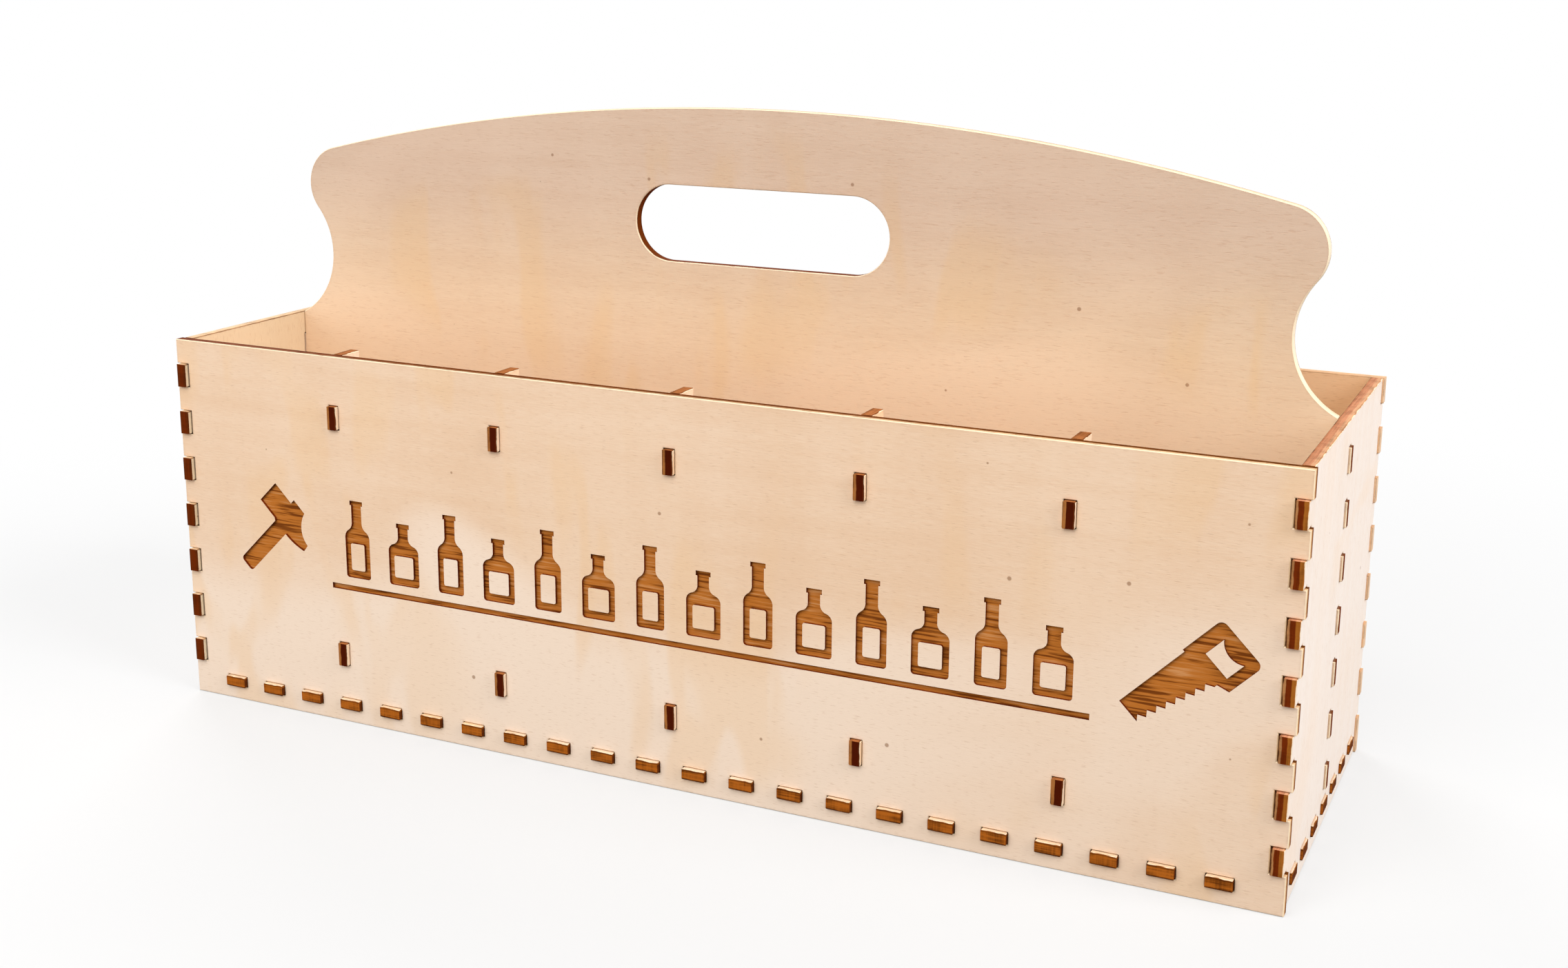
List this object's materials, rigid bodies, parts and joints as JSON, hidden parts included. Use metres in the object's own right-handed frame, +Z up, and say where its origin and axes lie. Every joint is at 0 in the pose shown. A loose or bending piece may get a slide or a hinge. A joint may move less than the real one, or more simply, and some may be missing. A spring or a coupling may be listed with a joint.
{
  "type": "bottle carrier",
  "caption": "Slotted plywood bottle carrier with a grid of open square cells and a tall middle panel that rises into an arched handle with a hand hole.",
  "frame": {"origin": "middle of the footprint, on the ground under the walls' lower edges", "axes": "+X along the length, +Y from the front wall to the back wall, +Z up towards the handle"},
  "size_m": [0.4196, 0.1428, 0.229],
  "materials": {
    "side_plywood": "sanded bare plywood, grain along the length, scorched cut edges",
    "end_plywood": "sanded bare plywood, upright grain, scorched cut edges",
    "handle_plywood": "sanded bare plywood, grain along the length, scorched cut edges",
    "inner_plywood": "sanded bare plywood, scorched cut edges"
  },
  "bodies": {
    "root": {"front_panel": "side_plywood", "back_panel": "side_plywood", "left_end_panel": "end_plywood", "right_end_panel": "end_plywood", "base_panel": "inner_plywood", "handle_panel": "handle_plywood", "divider_1": "inner_plywood", "divider_2": "inner_plywood", "divider_3": "inner_plywood", "divider_4": "inner_plywood", "divider_5": "inner_plywood"}
  },
  "joints": []
}
